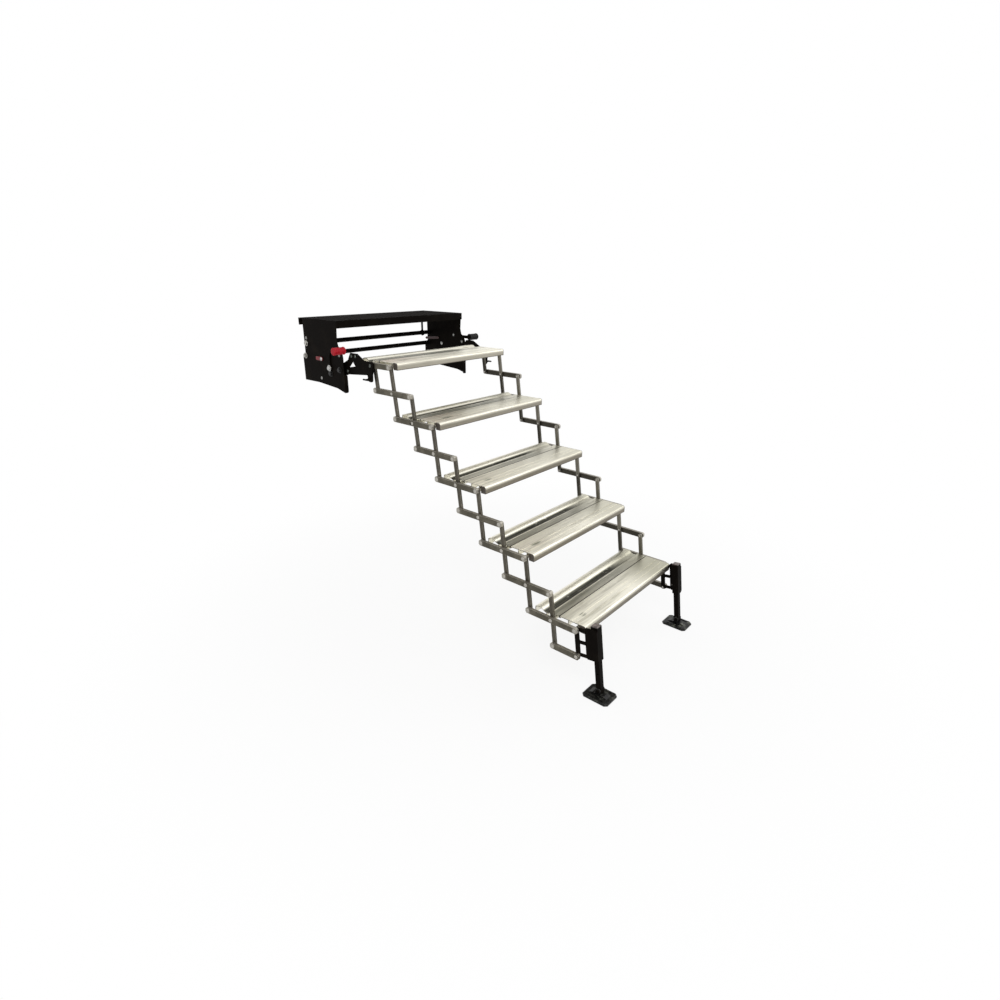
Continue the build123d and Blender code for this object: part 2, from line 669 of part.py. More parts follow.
def kept_boss(place, radius, start, end):
    """Pivot boss from a lever at X = start through the plate face at X = end, with a collar."""
    step = 1 if end > start else -1
    face = end + step * SEAT_GAP
    tip = face + step * COLLAR_LENGTH
    boss = pin(place, radius, min(start, tip), max(start, tip))
    return boss + pin(place, radius + COLLAR_WALL, min(face, tip), max(face, tip))


def latch_lever():
    """Right latch lever: a hub on the side plate, a swept arm and a spindle for the grip."""
    low = PLATE_OUTER + SEAT_GAP
    high = low + LEVER_THICKNESS
    hub = from_pivot(LEVER_HUB_AT)
    grip = from_pivot(GRIP_AT)
    radius = grip[1] - hub[1] - LEVER_RISE
    bend_start = (hub[0], grip[1] - radius)
    bend_end = (hub[0] - radius, grip[1])
    spine = Line(hub, bend_start) + RadiusArc(bend_start, bend_end, -radius)
    spine += Line(bend_end, grip)
    outline = trace(spine, LEVER_WIDTH)
    outline += Pos(*hub) * pin_bore(LEVER_HUB_RADIUS)
    outline += Pos(*grip) * pin_bore(LEVER_WIDTH / 2)
    lever = along_x(outline, low, high)
    lever += kept_boss(hub, LEVER_BOSS_RADIUS, high, PLATE_INNER)
    lever += hex_head(hub, high)
    return lever + pin(grip, SPINDLE_RADIUS, high, high + GRIP_LENGTH - GRIP_CHAMFER)


def hand_grip():
    """Right hand grip with many flats, pushed on the lever's spindle."""
    low = PLATE_OUTER + SEAT_GAP + LEVER_THICKNESS
    at = from_pivot(GRIP_AT)
    outline = Pos(*at) * RegularPolygon(GRIP_RADIUS, GRIP_SIDES)
    grip = along_x(outline, low, low + GRIP_LENGTH)
    grip = chamfer(grip.faces().sort_by(Axis.X)[-1].edges(), GRIP_CHAMFER)
    bore = Pos(*at) * RegularPolygon(SPINDLE_RADIUS, PIN_SIDES)
    return grip - along_x(bore, low, low + GRIP_LENGTH - GRIP_CHAMFER)


def lock_bar(place, length, width, tilt, low):
    """Flat lock lever from its pivot back along Y, with its inner face at X = low."""
    bar = clipped_bar(length + width, width, LOCK_CHAMFER)
    outline = Pos(*from_pivot(place)) * Rot(Z=tilt) * Pos(length / 2, 0) * bar
    return along_x(outline, low, low + LOCK_THICKNESS)


def lock_tab():
    """Short travel lock tab outside the left plate."""
    low = PLATE_OUTER + SEAT_GAP
    tab = lock_bar(TAB_AT, TAB_LENGTH, TAB_WIDTH, 0, low)
    tab += kept_boss(from_pivot(TAB_AT), LOCK_BOSS_RADIUS, low, PLATE_INNER)
    return mirror(tab, about=Plane.YZ)


def lock_lever():
    """Long travel lock lever inside the right plate."""
    low = PLATE_INNER - SEAT_GAP - LOCK_THICKNESS
    lever = lock_bar(
        LOCK_LEVER_AT, LOCK_LEVER_LENGTH, LOCK_LEVER_WIDTH, LOCK_LEVER_TILT, low
    )
    return lever + kept_boss(from_pivot(LOCK_LEVER_AT), LOCK_BOSS_RADIUS, low, PLATE_OUTER)


def main():
    os.makedirs("parts", exist_ok=True)
    for level in range(LAST_LEVEL + 1):
        number = level // 2 + 1
        save(studs(level), f"pivot_studs_{level}")
        if level % 2 == 0:
            save(tread(level), f"tread_{number}")
            save(nose_caps(level), f"nose_caps_{number}")
            save(level_bars(level), f"tread_rails_{number}")
        else:
            save(level_bars(level), f"level_links_{number}")
        if level < LAST_LEVEL:
            save(riser_bars(level), f"riser_links_{level}")
    save(leg_caps(), "leg_caps")
    save(clamp_screws(), "clamp_screws")
    save(top_channel(), "top_channel")
    save(cross_rods(), "cross_rods")
    save(tie_strap(), "tie_strap")
    save(mount_bolts(), "mount_bolts")
    save(lock_tab(), "lock_tab")
    save(lock_lever(), "lock_lever")
    save(pair(leg_bracket()), "leg_brackets")
    save(side_plates(), "side_plates")
    save(pair(swing_arm()), "swing_arms")
    sided = {
        "leg_tube": leg_tube(),
        "foot": foot(),
        "pull_pin": pull_pin(),
        "latch_lever": latch_lever(),
        "hand_grip": hand_grip(),
    }
    for name, shape in sided.items():
        save(shape, f"{name}_right")
        save(mirror(shape, about=Plane.YZ), f"{name}_left")


main()
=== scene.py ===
import json
from math import atan2, cos, floor, pi, radians, sin

import bmesh
import bpy
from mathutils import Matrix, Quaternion, Vector


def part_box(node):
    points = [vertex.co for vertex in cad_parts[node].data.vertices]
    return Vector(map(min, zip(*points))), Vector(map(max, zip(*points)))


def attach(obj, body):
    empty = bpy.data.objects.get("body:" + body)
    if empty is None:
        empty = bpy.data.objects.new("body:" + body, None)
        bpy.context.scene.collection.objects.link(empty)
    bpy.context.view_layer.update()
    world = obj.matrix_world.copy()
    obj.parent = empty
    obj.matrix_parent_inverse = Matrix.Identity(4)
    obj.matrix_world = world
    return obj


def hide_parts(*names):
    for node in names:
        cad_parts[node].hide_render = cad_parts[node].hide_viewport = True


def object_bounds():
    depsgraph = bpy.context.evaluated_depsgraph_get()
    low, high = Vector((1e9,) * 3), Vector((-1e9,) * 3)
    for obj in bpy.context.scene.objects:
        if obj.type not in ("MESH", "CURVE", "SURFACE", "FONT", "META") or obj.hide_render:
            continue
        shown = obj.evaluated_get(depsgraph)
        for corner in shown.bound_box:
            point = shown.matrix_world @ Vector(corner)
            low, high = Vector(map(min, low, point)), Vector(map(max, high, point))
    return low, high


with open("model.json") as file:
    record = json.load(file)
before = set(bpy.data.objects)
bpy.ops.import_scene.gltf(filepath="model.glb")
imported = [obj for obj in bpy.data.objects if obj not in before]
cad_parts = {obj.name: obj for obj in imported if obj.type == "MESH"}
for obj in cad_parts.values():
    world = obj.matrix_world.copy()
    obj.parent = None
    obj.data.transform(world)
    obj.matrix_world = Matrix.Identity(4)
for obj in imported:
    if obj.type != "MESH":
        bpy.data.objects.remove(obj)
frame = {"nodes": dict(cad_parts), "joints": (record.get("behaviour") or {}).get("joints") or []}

cad_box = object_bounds()
nodes = frame["nodes"]
pivots = {joint["name"]: Vector(joint["pos_m"]) for joint in frame["joints"] if "pos_m" in joint}

# The photograph's viewpoint: a wide lens in front of the step's left side, looking up the flight
# and a little down. Its place is measured from the first tread's middle pivot.
eye = pivots["fold"] + Vector((-1.8642, -1.9889, 0.3590))
heading = radians(49.474)
dip = radians(20.96)
roll = radians(0.404)
picture_width = 36.0
focal_share = 0.5979
line_of_sight = Vector((sin(heading) * cos(dip), cos(heading) * cos(dip), -sin(dip)))
camera_data = bpy.data.cameras.new("camera")
camera_data.sensor_width = picture_width
camera_data.lens = picture_width * focal_share
camera_data.clip_end = 60.0
camera = bpy.data.objects.new("camera", camera_data)
camera.location = eye
camera.rotation_mode = "QUATERNION"
camera.rotation_quaternion = line_of_sight.to_track_quat("-Z", "Y") @ Quaternion((0, 0, 1), roll)
bpy.context.scene.collection.objects.link(camera)
bpy.context.scene.camera = camera
bpy.context.scene.view_settings.view_transform = "Standard"


# The studio: a pale floor that meets the feet, keeps their shadow and whitens further out, white
# all round it, and three large soft lamps that leave the black mount readable.
class Reading:
    """One socket of a finish. Sums and products of readings add the Math nodes they need."""

    def __init__(self, paint, socket):
        self.paint = paint
        self.socket = socket

    def worked(self, operation, *values):
        return self.paint.node("ShaderNodeMath", {"operation": operation}, dict(enumerate(values)))

    def __add__(self, other):
        return self.worked("ADD", self, other)

    def __radd__(self, other):
        return self.worked("ADD", other, self)

    def __sub__(self, other):
        return self.worked("SUBTRACT", self, other)

    def __rsub__(self, other):
        return self.worked("SUBTRACT", other, self)

    def __mul__(self, other):
        return self.worked("MULTIPLY", self, other)

    def __rmul__(self, other):
        return self.worked("MULTIPLY", other, self)

    def __abs__(self):
        return self.worked("ABSOLUTE", self)


class Paint:
    """The nodes of a finish, or of the sky."""

    def __init__(self, tree):
        self.tree = tree

    def node(self, kind, settings, values, out=0):
        made = self.tree.nodes.new(kind)
        for name, value in settings.items():
            setattr(made, name, value)
        for name, value in values.items():
            if isinstance(value, Reading):
                self.tree.links.new(value.socket, made.inputs[name])
            else:
                made.inputs[name].default_value = value
        return Reading(self, made.outputs[out])


class Finish(Paint):
    """One surface finish. What is the same all over sits on the shader's own sockets."""

    def __init__(self, name, constants):
        self.material = bpy.data.materials.new(name)
        self.material.use_nodes = True
        super().__init__(self.material.node_tree)
        self.shader = self.tree.nodes["Principled BSDF"]
        for socket, value in constants.items():
            self.shader.inputs[socket].default_value = value

    def feed(self, socket, reading):
        self.tree.links.new(reading.socket, self.shader.inputs[socket])


def object_place(paint):
    """Where the surface is on the standing piece, in metres."""
    return paint.node("ShaderNodeTexCoord", {}, {}, "Object")


def spot(paint, centre, reach):
    """Distance in plan from a centre, counted in reaches along X and Y."""
    scaled = paint.node("ShaderNodeVectorMath", {"operation": "MULTIPLY_ADD"}, {
        0: object_place(paint),
        1: (1 / reach[0], 1 / reach[1], 0.0),
        2: (-centre[0] / reach[0], -centre[1] / reach[1], 0.0),
    })
    return paint.node("ShaderNodeVectorMath", {"operation": "LENGTH"}, {0: scaled}, "Value")


def rise(value, low, high):
    """Smooth step of a reading from 0 at low to 1 at high."""
    return value.paint.node("ShaderNodeMapRange", {"interpolation_type": "SMOOTHSTEP"},
                            {"Value": value, "From Min": low, "From Max": high})


def seen_directly(paint):
    """1 for rays that see the studio itself or its mirror image, 0 for rays that light."""
    rays = [paint.node("ShaderNodeLightPath", {}, {}, out) for out in
            ("Is Camera Ray", "Is Glossy Ray", "Is Transmission Ray")]
    total = rays[0] + rays[1] + rays[2]
    return total.worked("MINIMUM", total, 1.0)


room_white = (1.0, 1.0, 1.0, 1.0)
floor_white = (0.95, 0.95, 0.948, 1.0)
near_glow = 0.86
whitens_from, whitens_to = 0.7, 1.9
floor_half = 14.0
step_middle = (0.0, -0.8)
ground = cad_box[0].z

floor_mesh = bpy.data.meshes.new("studio_floor")
floor_signs = ((-1, -1), (1, -1), (1, 1), (-1, 1))
corners = [(x * floor_half, y * floor_half, ground) for x, y in floor_signs]
floor_mesh.from_pydata(corners, [], [(0, 1, 2, 3)])
studio_floor = bpy.data.objects.new("studio_floor", floor_mesh)
bpy.context.scene.collection.objects.link(studio_floor)
floor_paint = Finish("studio_floor", {
    "Base Color": floor_white,
    "Roughness": 0.9,
    "Specular IOR Level": 0.1,
})
further_out = rise(spot(floor_paint, step_middle, (1.0, 1.0)), whitens_from, whitens_to)
glow_share = (near_glow + (1 - near_glow) * further_out) * seen_directly(floor_paint)
glow = floor_paint.node("ShaderNodeEmission", {}, {"Color": room_white, "Strength": 1.0})
mixed = floor_paint.node("ShaderNodeMixShader", {}, {0: glow_share, 2: glow})
floor_paint.tree.links.new(floor_paint.shader.outputs[0], mixed.socket.node.inputs[1])
floor_output = floor_paint.tree.nodes["Material Output"]
floor_paint.tree.links.new(mixed.socket, floor_output.inputs["Surface"])
floor_mesh.materials.append(floor_paint.material)

sky_light = 0.62
world = bpy.data.worlds.new("studio")
bpy.context.scene.world = world
world.use_nodes = True
backdrop = Paint(world.node_tree)
sky = world.node_tree.nodes["Background"]
sky.inputs["Color"].default_value = room_white
strength = sky_light + (1 - sky_light) * seen_directly(backdrop)
world.node_tree.links.new(strength.socket, sky.inputs["Strength"])

for name, place, aim, size, power in (
    ("key_lamp", (-2.6, -3.4, 2.4), (0, -0.8, -0.6), 2.6, 62.0),
    ("fill_lamp", (3.2, -2.6, 1.6), (0, -0.8, -0.6), 2.4, 24.0),
    ("rear_lamp", (0.6, 2.6, 2.4), (0, -0.6, -0.4), 2.2, 22.0),
):
    lamp_data = bpy.data.lights.new(name, "AREA")
    lamp_data.size = size
    lamp_data.energy = power
    lamp = bpy.data.objects.new(name, lamp_data)
    lamp.location = place
    lamp.rotation_mode = "QUATERNION"
    lamp.rotation_quaternion = (Vector(aim) - Vector(place)).to_track_quat("-Z", "Y")
    bpy.context.scene.collection.objects.link(lamp)


# The treads: five aluminium extrusions left mill finish. Shoes rub the front deck pale. Painted
# shade darkens the groove, the band behind it, the gutter, and the front and lower lip of the
# nose. They screw to their rails at the ends.
tread_count = 5
last_level = 2 * tread_count - 1
level_step = pivots["riser_1_turn"] - pivots["fold"]
link_half = pivots["level_1_turn"].y - pivots["riser_1_turn"].y
# Across the deck, in metres back from the tread's middle pivot.
nose_back = -0.122
groove_from, groove_to = -0.0258, -0.0222
band_from, band_to = -0.0225, 0.0095
gutter_from, gutter_to = 0.0170, 0.0475
# Up the bullnose, in metres from the same pivot.
nose_foot, nose_low, nose_high = -0.0090, -0.0060, 0.0185
# A mark and a dried ring on each deck, as (x, y) in metres from the middle pivot, and their sizes.
mark_place, mark_size = (-0.245, -0.080), (0.034, 0.014)
ring_place, ring_size = (0.255, 0.022), (0.044, 0.030)
bright_alloy = (0.955, 0.922, 0.795, 1.0)
smeared_alloy = (0.50, 0.48, 0.39, 1.0)
greyer_alloy = (0.43, 0.415, 0.32, 1.0)
shaded_alloy = (0.42, 0.41, 0.37, 1.0)
drawn_streak = (0.40, 0.375, 0.315, 1.0)
rusty_blush = (0.50, 0.30, 0.23, 1.0)
painted_band_shade = (0.27, 0.265, 0.215, 1.0)
painted_gutter_shade = (0.040, 0.040, 0.029, 1.0)
painted_groove_shade = (0.030, 0.029, 0.024, 1.0)
painted_nose_shade = (0.205, 0.182, 0.142, 1.0)
painted_lip_shadow = (0.075, 0.060, 0.048, 1.0)
grey_green_mark = (0.24, 0.245, 0.18, 1.0)
dried_splash = (0.25, 0.22, 0.17, 1.0)
rubbed_alloy = (0.93, 0.91, 0.80, 1.0)


def middle(level):
    """Middle pivot of a level, on the step's centre line."""
    return pivots["fold"] + level * level_step


def axis_of(paint, name):
    """One coordinate of the surface, in metres."""
    return paint.node("ShaderNodeSeparateXYZ", {}, {0: object_place(paint)}, name)


def facing(paint, name):
    """How far the standing piece's surface faces along an axis, from -1 to 1."""
    normal = paint.node("ShaderNodeTexCoord", {}, {}, "Normal")
    return paint.node("ShaderNodeSeparateXYZ", {}, {0: normal}, name)


def mottle(paint, per_metre, detail, roughness=0.5):
    """Noise from 0 to 1, with its spots to the metre for each axis, or one number for all."""
    per_axis = per_metre if isinstance(per_metre, tuple) else 3 * (per_metre,)
    stretched = paint.node("ShaderNodeVectorMath", {"operation": "MULTIPLY"},
                           {0: object_place(paint), 1: per_axis})
    return paint.node("ShaderNodeTexNoise", {}, {"Vector": stretched, "Scale": 1.0,
                                                 "Detail": detail, "Roughness": roughness})


def strip(value, low, high, soft):
    """1 between low and high with soft edges, and 0 outside."""
    return rise(value, low - soft, low + soft) * (1 - rise(value, high - soft, high + soft))


def blended(mask, under, over):
    """The over colour where the mask is 1."""
    return mask.paint.node("ShaderNodeMix", {"data_type": "RGBA"}, {0: mask, 6: under, 7: over}, 2)


def edge_wear(paint, radius):
    """1 along the piece's edges, as far in as the radius, and 0 on its flats."""
    rounded = paint.node("ShaderNodeBevel", {"samples": 4}, {"Radius": radius})
    flat = paint.node("ShaderNodeNewGeometry", {}, {}, "True Normal")
    alike = paint.node("ShaderNodeVectorMath", {"operation": "DOT_PRODUCT"},
                       {0: rounded, 1: flat}, "Value")
    return rise(1 - alike, 0.004, 0.14)


def relief(height, depth, radius):
    """Bump of a height from 0 to 1, given its depth in metres, over softened edges."""
    rounded = height.paint.node("ShaderNodeBevel", {"samples": 4}, {"Radius": radius})
    return height.paint.node("ShaderNodeBump", {},
                             {"Height": height, "Distance": depth, "Normal": rounded})


def dress(finish, *names):
    """Puts a finish on whole nodes of the construction."""
    for name in names:
        slots = nodes[name].data.materials
        slots.clear()
        slots.append(finish.material)


def tread_finish(number, pivot, front_shading, band_shading, right_tint, left_blush):
    """Mill-finish aluminium with painted shade in the deck's bands, and marks that lie elsewhere
    on each tread.
    """
    alloy = Finish(f"tread_alloy_{number}", {"Metallic": 0.94})
    back = axis_of(alloy, "Y") - pivot.y
    along = axis_of(alloy, "X")
    upward = rise(facing(alloy, "Z"), 0.35, 0.60)
    streaks = mottle(alloy, (5.0, 260.0, 260.0), 4.0, 0.6)
    smears = mottle(alloy, (2.6 + number * 0.2, 42.0, 30.0), 4.0, 0.55)
    scuffs = rise(mottle(alloy, (34.0, 60.0, 60.0), 5.0, 0.7), 0.60, 0.72) * upward

    shade = blended(rise(smears, 0.47, 0.68) * 0.62, bright_alloy, smeared_alloy)
    # The deck is painted greyer towards its right end.
    shade = blended(rise(along, 0.00, 0.25) * upward * right_tint, shade, greyer_alloy)
    shade = blended((1 - rise(facing(alloy, "Z"), -0.6, 0.0)) * 0.6, shade, shaded_alloy)
    shade = blended(rise(streaks, 0.52, 0.76) * 0.42, shade, drawn_streak)
    left_end = 1 - rise(along, -0.26, -0.10)
    blush = left_end * strip(back, -0.110, 0.010, 0.020) * rise(streaks, 0.40, 0.56)
    shade = blended(blush * upward * left_blush, shade, rusty_blush)

    # Painted shade in the band behind the groove and in the gutter, fading towards the right end,
    # and in the groove.
    shade_reach = 1 - 0.82 * rise(along + 0.10 * smears, 0.16, 0.30)
    band = strip(back, band_from, band_to, 0.0015) * upward * shade_reach
    shade = blended(band * (0.62 + 0.38 * rise(smears, 0.3, 0.7)) * band_shading, shade, painted_band_shade)
    gutter = strip(back, gutter_from, gutter_to, 0.0045) * upward * shade_reach
    shade = blended(gutter * (0.86 + 0.20 * rise(streaks, 0.3, 0.7)), shade, painted_gutter_shade)
    shade = blended(strip(back, groove_from, groove_to, 0.0003) * 0.92, shade, painted_groove_shade)

    # Painted shade on the front of the nose, and a painted shadow along its lower lip.
    height = axis_of(alloy, "Z") - pivot.z
    front = (1 - rise(back, nose_back - 0.008, nose_back)) * (1 - rise(height, 0.002, nose_high))
    shade = blended(front * front_shading, shade, painted_nose_shade)
    below = 1 - rise(height, nose_foot, nose_low)
    shade = blended(below * (1 - rise(back, -0.120, -0.115)) * 0.85, shade, painted_lip_shadow)

    # A grey-green mark near the front left, and a dried ring near the back right.
    shift = 0.006 * ((number * 7) % 5 - 2)
    mark_middle = (mark_place[0] + shift, pivot.y + mark_place[1])
    mark_reach = (mark_size[0] + shift, mark_size[1])
    deck_mark = 1 - rise(spot(alloy, mark_middle, mark_reach) + smears, 0.75, 1.5)
    shade = blended(deck_mark * upward * rise(streaks, 0.36, 0.50) * 0.9, shade, grey_green_mark)
    ring_middle = (ring_place[0] + 0.5 * shift, pivot.y + ring_place[1])
    ring_reach = (ring_size[0] + 0.3 * shift, ring_size[1])
    ring = strip(spot(alloy, ring_middle, ring_reach) + 0.5 * smears, 1.10, 1.24, 0.08)
    shade = blended(ring * (0.35 + rise(streaks, 0.40, 0.60)) * upward * 0.40, shade, dried_splash)
    shade = blended(scuffs * 0.40, shade, rubbed_alloy)

    alloy.feed("Base Color", shade)
    alloy.feed("Roughness", 0.26 + 0.16 * streaks + 0.10 * smears + 0.14 * gutter + 0.10 * front)
    alloy.feed("Normal", relief(streaks + 0.35 * scuffs, 0.00016, 0.0005))
    return alloy


# For each tread: painted shade on its nose and its band, greyer colour to the right and blush to
# the left.
for number, front_shading, band_shading, right_tint, left_blush in (
    (1, 0.70, 0.95, 0.15, 0.55),
    (2, 0.85, 1.00, 0.42, 0.35),
    (3, 0.95, 0.75, 0.45, 0.10),
    (4, 0.95, 0.90, 0.60, 0.10),
    (5, 0.95, 0.95, 0.90, 0.0),
):
    pivot = middle(2 * number - 2)
    alloy = tread_finish(number, pivot, front_shading, band_shading, right_tint, left_blush)
    dress(alloy, f"tread_{number}")


# The nose caps: thin moulded end caps pressed on both ends of each bullnose. They are brown-black
# plastic with a fine moulded grain and rubbed corners.
cap_brown = (0.062, 0.051, 0.041, 1.0)
rubbed_cap = (0.20, 0.18, 0.155, 1.0)
cap_moulding = Finish("nose_trim", {"Specular IOR Level": 0.4})
cap_grain = mottle(cap_moulding, 900.0, 2.0)
cap_rub = edge_wear(cap_moulding, 0.0012) * (0.5 + cap_grain)
cap_moulding.feed("Base Color", blended(cap_rub, cap_brown, rubbed_cap))
cap_moulding.feed("Roughness", 0.42 + 0.15 * cap_grain)
cap_moulding.feed("Normal", relief(cap_grain, 0.00006, 0.0006))
dress(cap_moulding, *[f"nose_caps_{number}" for number in range(1, tread_count + 1)])


# The level links, tread rails and riser links: aluminium flat bar, sawn to length, with clipped
# ends. Weather has browned the flats. Painted shade darkens the inner faces, a painted highlight
# lightens the tops, the right risers get painted light above and painted shade below, and the
# knuckles are painted paler.
bar_brown = (0.092, 0.084, 0.064, 1.0)
riser_brown = (0.086, 0.078, 0.062, 1.0)
pale_patch = (0.190, 0.172, 0.134, 1.0)
dark_line = (0.048, 0.042, 0.034, 1.0)
painted_top_highlight = (0.43, 0.40, 0.345, 1.0)
pale_knuckle = (0.50, 0.475, 0.42, 1.0)
painted_inner_shade = (0.033, 0.030, 0.023, 1.0)
painted_low_shade = (0.032, 0.030, 0.023, 1.0)
painted_high_light = (0.250, 0.235, 0.195, 1.0)
bare_edge = (0.66, 0.625, 0.56, 1.0)


def bar_finish(name, axis, centre, flat_shade):
    """Flat bar drawn along an axis, with its knuckles a link's half either side of its centre."""
    bar = Finish(name, {"Metallic": 0.9})
    upright = axis == "Z"
    drawn = (300.0, 300.0, 9.0) if upright else (300.0, 9.0, 300.0)
    lines = mottle(bar, drawn, 4.0, 0.6)
    patches = mottle(bar, 17.0, 4.0, 0.6)
    edges = edge_wear(bar, 0.0016)
    side = axis_of(bar, "X")
    # Painted shade on the inner faces, weaker on the upper half of each riser.
    inward = 1 - rise(facing(bar, "X") * side.worked("SIGN", side), -0.8, -0.4)
    along = axis_of(bar, axis) - centre
    if upright:
        inward = inward * (1 - 0.80 * rise(along, -0.015, 0.015))
    knuckle = rise(abs(along), link_half * 0.87, link_half * 1.04)
    shade = blended(rise(patches, 0.42, 0.70) * 0.60, flat_shade, pale_patch)
    shade = blended(rise(lines, 0.50, 0.78) * 0.45, shade, dark_line)
    # A painted highlight on the faces that look up.
    shade = blended(rise(facing(bar, "Z"), 0.4, 0.9) * 0.60, shade, painted_top_highlight)
    # The knuckles are painted paler, in patches.
    shade = blended(knuckle * (0.30 + 0.70 * patches), shade, pale_knuckle)
    # Painted shade on the inner faces.
    shade = blended(inward * 0.76, shade, painted_inner_shade)
    # On the right risers, a painted highlight on the upper half and painted shade on the lower
    # half.
    if upright:
        riser_light_and_shade = blended(rise(along, -0.015, 0.015), painted_low_shade, painted_high_light)
        shade = blended(rise(side, 0.0, 0.1) * 0.45, shade, riser_light_and_shade)
    shade = blended(edges * (0.30 + 0.5 * patches), shade, bare_edge)
    bar.feed("Base Color", shade)
    bar.feed("Roughness", 0.34 + 0.20 * lines + 0.08 * patches - 0.08 * edges)
    bar.feed("Normal", relief(lines, 0.00018, 0.0009))
    return bar


for level in range(last_level + 1):
    place = middle(level)
    kind = "tread_rails" if level % 2 == 0 else "level_links"
    dress(bar_finish(f"level_bar_{level}", "Y", place.y, bar_brown), f"{kind}_{level // 2 + 1}")
    if level < last_level:
        dress(bar_finish(f"riser_bar_{level}", "Z", place.z, riser_brown), f"riser_links_{level}")


# The pivots: zinc-plated studs through the links. Their riveted ends show on the outer faces of
# the level links and rails, domed where nothing passes and flush where the swing arms pass.
dulled_zinc = (0.30, 0.28, 0.25, 1.0)


def zinc_finish(name, shade):
    """Zinc plate: bright, faintly spangled, a little duller in patches."""
    zinc = Finish(name, {"Metallic": 1.0})
    spangle = zinc.node("ShaderNodeTexVoronoi", {"feature": "F1"},
                        {"Vector": object_place(zinc), "Scale": 420.0}, "Color")
    tint = zinc.node("ShaderNodeSeparateColor", {}, {0: spangle})
    dull = mottle(zinc, 60.0, 4.0)
    colour = blended(0.5 * tint, shade, (shade[0] * 0.72, shade[1] * 0.72, shade[2] * 0.70, 1.0))
    colour = blended(rise(dull, 0.5, 0.75) * 0.5, colour, dulled_zinc)
    zinc.feed("Base Color", colour)
    zinc.feed("Roughness", 0.26 + 0.22 * dull)
    zinc.feed("Normal", relief(dull, 0.00008, 0.0005))
    return zinc


zinc = zinc_finish("zinc", (0.46, 0.44, 0.40, 1.0))
dress(zinc, *[f"pivot_studs_{level}" for level in range(last_level + 1)])


def turned(mesh, profile, start, outward, steps):
    """Adds a shape turned about X to a mesh: profile pairs are (distance along X, radius)."""
    rings = []
    for along, radius in profile:
        x = start[0] + outward * along
        rings.append([
            mesh.verts.new((x, start[1] + radius * cos(2 * pi * i / steps),
                            start[2] + radius * sin(2 * pi * i / steps)))
            for i in range(steps)
        ])
    for low, high in zip(rings, rings[1:]):
        for i in range(steps):
            j = (i + 1) % steps
            mesh.faces.new((low[i], low[j], high[j], high[i]))
    mesh.faces.new(rings[0][::-1])
    mesh.faces.new(rings[-1])


def finished_piece(name, mesh, finish, body):
    """Makes a piece of a built mesh, closes its normals and hangs it on its body."""
    bmesh.ops.recalc_face_normals(mesh, faces=mesh.faces)
    data = bpy.data.meshes.new(name)
    mesh.to_mesh(data)
    mesh.free()
    data.materials.append(finish.material)
    for face in data.polygons:
        face.use_smooth = True
    data.set_sharp_from_angle(angle=radians(35))
    piece = bpy.data.objects.new(name, data)
    bpy.context.scene.collection.objects.link(piece)
    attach(piece, body)
    return piece


def rivet_head(radius, height):
    """Half section of a riveted stud end: a soft dome with a small flat left by the tool."""
    return [(-0.0004, radius), (height * 0.25, radius), (height * 0.7, radius * 0.82),
            (height * 0.95, radius * 0.5), (height, radius * 0.3)]


level_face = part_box("tread_rails_1")[1].x
flush_head = rivet_head(0.0060, 0.0002)
domed_head = rivet_head(0.0074, 0.0028)
last_level_in_arms = 2
# The top level has no rear stud and its middle one ends at the arm. The lowest has no front one.
for level in range(last_level + 1):
    heads = bmesh.new()
    head = flush_head if level <= last_level_in_arms else domed_head
    for side in (-1, 1):
        for step in (-1, 0, 1):
            if (level == 0 and step >= 0) or (level == last_level and step < 0):
                continue
            pivot = middle(level)
            turned(heads, head, (side * level_face, pivot.y + step * link_half, pivot.z), side, 24)
    body = "carriage" if level == 0 else f"level_{level}"
    finished_piece(f"pivot_heads_{level}", heads, zinc, body)


# The black steelwork: bent plate, welded and powder coated in satin black. The coat has a fine
# orange peel, and it is thin and brownish along the bends and on corners that get knocked.
satin_black = (0.0042, 0.0031, 0.0024, 1.0)
dusty_black = (0.0135, 0.0105, 0.0076, 1.0)
knocked_corner = (0.042, 0.037, 0.030, 1.0)


def coat_finish(name, patches):
    """Satin black powder coat, with its dust patches to the metre."""
    coat = Finish(name, {"Specular IOR Level": 0.020})
    peel = mottle(coat, 620.0, 2.0)
    dust = mottle(coat, patches, 5.0, 0.62)
    edges = edge_wear(coat, 0.0011)
    upward = rise(facing(coat, "Z"), 0.5, 0.9)
    shade = blended(rise(dust, 0.46, 0.78) * 0.6, satin_black, dusty_black)
    shade = blended(edges * rise(dust, 0.42, 0.62) * 0.7, shade, knocked_corner)
    coat.feed("Base Color", shade)
    coat.feed("Roughness", 0.34 + 0.10 * peel + 0.14 * dust + 0.42 * upward)
    coat.feed("Normal", relief(peel, 0.00005, 0.0008))
    return coat


black_coat = coat_finish("black_coat", 14.0)
dress(black_coat, "top_channel", "side_plates", "cross_rods", "tie_strap", "swing_arms")
dress(black_coat, "latch_lever_left", "latch_lever_right", "pull_pin_left", "pull_pin_right")
dress(black_coat, "leg_brackets", "leg_tube_left", "leg_tube_right")


# The legs: the bracket's bars and gusset are welded to the square housing. Hard black plugs close
# the housings and zinc screws clamp the tubes.
weld_ripple = 0.0034
rings_to_ripple = 4


